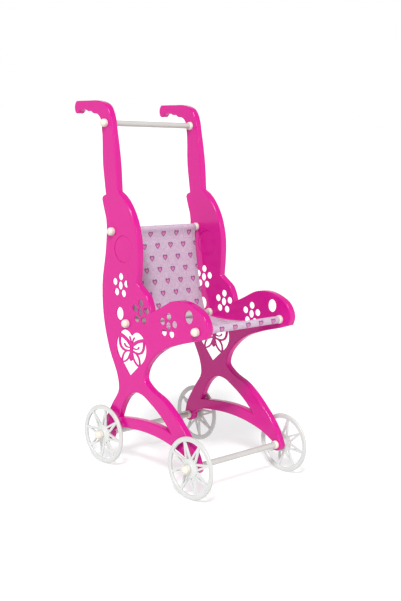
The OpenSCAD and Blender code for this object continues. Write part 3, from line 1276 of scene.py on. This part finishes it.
    def _thicken(self, piece: bpy.types.Object, thickness: float, offset: float) -> None:
        """Gives a cloth piece its thickness and smooths it."""
        smooth = piece.modifiers.new("smooth", "SUBSURF")
        smooth.levels = smooth.render_levels = 1
        solid = piece.modifiers.new("thickness", "SOLIDIFY")
        solid.thickness = thickness
        solid.offset = offset

    def _dress(self, piece: bpy.types.Object, material: bpy.types.Material) -> None:
        """Gives a cloth piece its material, smooth shading and body."""
        piece.data.materials.clear()
        piece.data.materials.append(material)
        piece.data.shade_smooth()
        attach(piece, FRAME_BODY)
        LOG.info("%s: %d faces, rides on %s", piece.name, len(piece.data.polygons), FRAME_BODY)

    def _hem(self, cloth: bpy.types.Object, side: Side) -> bpy.types.Object:
        """Builds the folded hem along one side edge, on the back of the cloth.

        Args:
            cloth: The hung cloth.
            side: Side of the stroller.

        Returns:
            The hem piece.
        """
        bm = bmesh.new()
        bm.from_mesh(cloth.data)
        columns = self.across_steps + 1
        bm.verts.ensure_lookup_table()
        first, last = min(self._seam_rows), max(self._seam_rows)
        beyond = set()
        for index, row in enumerate(self._rows):
            edge = row[0] if side is Side.LEFT else row[-1]
            limit = side.value * edge.x - self.hem_width
            for vert in bm.verts[index * columns : (index + 1) * columns]:
                if not first < index < last or side.value * vert.co.x < limit - self.hem_width / 2:
                    beyond.add(vert)
                elif side.value * vert.co.x < limit:
                    vert.co.x = side.value * limit
        bmesh.ops.delete(bm, geom=list(beyond), context="VERTS")
        bm.normal_update()
        for vert in bm.verts:
            vert.co -= vert.normal * self.thickness
        mesh = bpy.data.meshes.new(f"sling_hem_{side.label}")
        bm.to_mesh(mesh)
        bm.free()
        hem = bpy.data.objects.new(f"sling_hem_{side.label}", mesh)
        bpy.context.scene.collection.objects.link(hem)
        return hem

    def _find_edges(self, cloth: bpy.types.Object) -> None:
        """Keeps the points of the cloth's two side edges and its rows, for hems and stitches."""
        columns = self.across_steps + 1
        verts = [v.co.copy() for v in cloth.data.vertices]
        self._rows = [verts[i : i + columns] for i in range(0, len(verts), columns)]
        for row in self._rows:
            row.sort(key=lambda p: p.x)

    def _stitch(self, bm: bmesh.types.BMesh, place: Vector, way: Vector, out: Vector) -> None:
        """Adds one stitch: a short thread that lies on the cloth and dips in at both ends.

        Args:
            bm: Mesh of all the stitches.
            place: Middle of the stitch on the cloth.
            way: Direction of the seam.
            out: Direction out of the cloth.
        """
        side = out.cross(way).normalized()
        turn = Matrix((way.normalized(), side, out)).transposed().to_4x4()
        size = Matrix.Diagonal((self.stitch_pitch * 0.36, 0.3 * MM, 0.26 * MM, 1.0))
        at = Matrix.Translation(place + out * (self.thickness / 2 + 0.08 * MM))
        bmesh.ops.create_uvsphere(bm, u_segments=6, v_segments=5, radius=1.0, matrix=at @ turn @ size)

    def _line(self, points: list[Vector], outs: list[Vector], bm: bmesh.types.BMesh) -> int:
        """Sews a row of stitches along points.

        Args:
            points: Points along the seam.
            outs: Direction out of the cloth at each point.
            bm: Mesh of all the stitches.

        Returns:
            Number of stitches.
        """
        run = [0.0]
        for a, b in zip(points, points[1:]):
            run.append(run[-1] + (b - a).length)
        count = int(run[-1] / self.stitch_pitch)
        segment = 0
        for i in range(count):
            at = (i + 0.5) * self.stitch_pitch
            while run[segment + 1] < at:
                segment += 1
            t = (at - run[segment]) / (run[segment + 1] - run[segment])
            place = points[segment].lerp(points[segment + 1], t)
            self._stitch(bm, place, points[segment + 1] - points[segment], outs[segment])
        return count

    def _stitching(self) -> bpy.types.Object:
        """Builds the thread that sews the side hems and the two sleeves, seen on the sitting side."""
        bm = bmesh.new()
        rows = self._rows
        normals = []
        for i, row in enumerate(rows):
            ahead, behind = rows[min(i + 1, len(rows) - 1)], rows[max(i - 1, 0)]
            run = ahead[len(row) // 2] - behind[len(row) // 2]
            normals.append(run.cross(Vector((1, 0, 0))).normalized())
        count = 0
        inset = self.hem_width - 1.2 * MM
        for side in Side:
            points = []
            for row in rows:
                edge = row[0] if side is Side.LEFT else row[-1]
                target = edge.x - side.value * inset
                points.append(self._on_row(row, target))
            count += self._line(points, normals, bm)
        for index in self._seam_rows:
            points = [place.lerp(after, 0.4) for place, after in zip(rows[index], rows[index + self._inward(index)])]
            outs = [normals[index]] * len(points)
            count += self._line(points[1:-1], outs[1:-1], bm)
        piece = finish_piece(bm, "sling_stitching", self.thread, FRAME_BODY)
        LOG.info("%s: %d stitches", piece.name, count)
        return piece

    def _inward(self, index: int) -> int:
        """Step from a seam's row to the next row away from its bar."""
        return 1 if index < len(self._rows) / 2 else -1

    def _on_row(self, row: list[Vector], x: float) -> Vector:
        """Point of one row of the cloth at a given distance across."""
        for a, b in zip(row, row[1:]):
            if a.x <= x <= b.x:
                return a.lerp(b, (x - a.x) / (b.x - a.x))
        return row[0] if x < row[0].x else row[-1]

    def build(self) -> bpy.types.Object:
        """Builds the cloth, its hems and its stitching.

        Returns:
            The cloth.
        """
        cloth, length = self._grid()
        self._hang(cloth)
        self._find_edges(cloth)
        hems = [self._hem(cloth, side) for side in Side]
        self._thicken(cloth, self.thickness, 0.0)
        self._dress(cloth, self.cloth)
        for hem in hems:
            self._thicken(hem, self.thickness * 0.9, 0.0)
            self._dress(hem, self.cloth)
        stitches = self._stitching()
        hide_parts("sling_seat")
        return cloth


# ---- studio ----


@dataclass
class SoftSun:
    """Soft directional light, as from a large screen far away."""

    name: str
    towards: tuple[float, float, float]
    strength: float
    spread_deg: float


@dataclass
class Studio:
    """Plain studio: pale floor, soft light and the camera."""

    camera_place: tuple[float, float, float] = (-1.07755, -1.10772, 0.53935)
    azimuth_deg: float = 44.968
    down_deg: float = 10.441
    roll_deg: float = 3.051
    lens_mm: float = 62.41
    floor_size: float = 80.0
    sky_strength: float = 1.0
    overhead: str = "#AAAAAC"

    def camera(self) -> None:
        """Makes the camera, turned a little about its own line of sight."""
        azimuth, down, roll = (math.radians(a) for a in (self.azimuth_deg, self.down_deg, self.roll_deg))
        ahead = Vector(
            (math.sin(azimuth) * math.cos(down), math.cos(azimuth) * math.cos(down), -math.sin(down))
        )
        level = Vector((math.cos(azimuth), -math.sin(azimuth), 0.0))
        up = level.cross(ahead)
        right = level * math.cos(roll) + up * math.sin(roll)
        above = up * math.cos(roll) - level * math.sin(roll)
        data = bpy.data.cameras.new("camera")
        data.sensor_width = 36.0
        data.lens = self.lens_mm
        camera = bpy.data.objects.new("camera", data)
        turn = Matrix((right, above, -ahead)).transposed().to_4x4()
        camera.matrix_world = Matrix.Translation(self.camera_place) @ turn
        bpy.context.scene.collection.objects.link(camera)
        bpy.context.scene.camera = camera

    def floor(self, material: bpy.types.Material) -> None:
        """Makes the floor.

        Args:
            material: The background paper.
        """
        bm = bmesh.new()
        bmesh.ops.create_grid(bm, x_segments=1, y_segments=1, size=self.floor_size / 2)
        mesh = bpy.data.meshes.new("floor")
        bm.to_mesh(mesh)
        bm.free()
        mesh.materials.append(material)
        floor = bpy.data.objects.new("floor", mesh)
        bpy.context.scene.collection.objects.link(floor)

    def lights(self) -> None:
        """Makes the sky and the soft boxes."""
        world = bpy.data.worlds.new("studio_sky")
        world.use_nodes = True
        tree = world.node_tree
        ray = add_node(tree, "ShaderNodeTexCoord").outputs["Generated"]
        height = add_node(tree, "ShaderNodeSeparateXYZ", {"Vector": ray}).outputs["Z"]
        fade = add_node(tree, "ShaderNodeMapRange", {"Value": height, "From Min": 0.25, "From Max": 0.6})
        sky = add_node(
            tree,
            "ShaderNodeMix",
            {"Factor": fade.outputs["Result"], "A": linear("#FFFFFF"), "B": linear(self.overhead)},
            data_type="RGBA",
        )
        background = tree.nodes["Background"]
        tree.links.new(sky.outputs["Result"], background.inputs["Color"])
        background.inputs["Strength"].default_value = self.sky_strength
        bpy.context.scene.world = world
        suns = [
            SoftSun("key", (0.57, 0.4, -0.72), 3.2, 13.0),
            SoftSun("front", (-0.3, 0.84, -0.45), 0.6, 10.0),
        ]
        for sun in suns:
            data = bpy.data.lights.new(sun.name, "SUN")
            data.energy = sun.strength
            data.angle = math.radians(sun.spread_deg)
            light = bpy.data.objects.new(sun.name, data)
            light.matrix_world = Vector(sun.towards).to_track_quat("-Z", "Y").to_matrix().to_4x4()
            bpy.context.scene.collection.objects.link(light)

    def build(self) -> None:
        """Builds the whole studio."""
        self.camera()
        self.floor(StudioPaper().material())
        self.lights()
        bpy.context.scene.view_settings.view_transform = "Standard"


def main() -> None:
    """Builds the stroller and the studio round it."""
    logging.basicConfig(level=logging.INFO, format="%(name)s %(message)s", stream=sys.stdout)
    Studio().build()
    pink = PanelPlastic().material()
    enamel = TubeEnamel().material()
    cream = CapPolyethylene().material()
    white = WheelPolypropylene().material()
    for side in Side:
        SidePanel(side).build(pink)
    for name in ("push_bar", "backrest_bar", "seat_rear_bar", "seat_front_bar"):
        CrossBar(name, enamel, cream).build()
    for name in ("rear_axle", "front_axle"):
        WheelAxle(name, enamel, cream, white=white).build()
    SlingSeat(PrintedCotton().material(), SewingThread().material()).build()


if __name__ == "__main__":
    main()
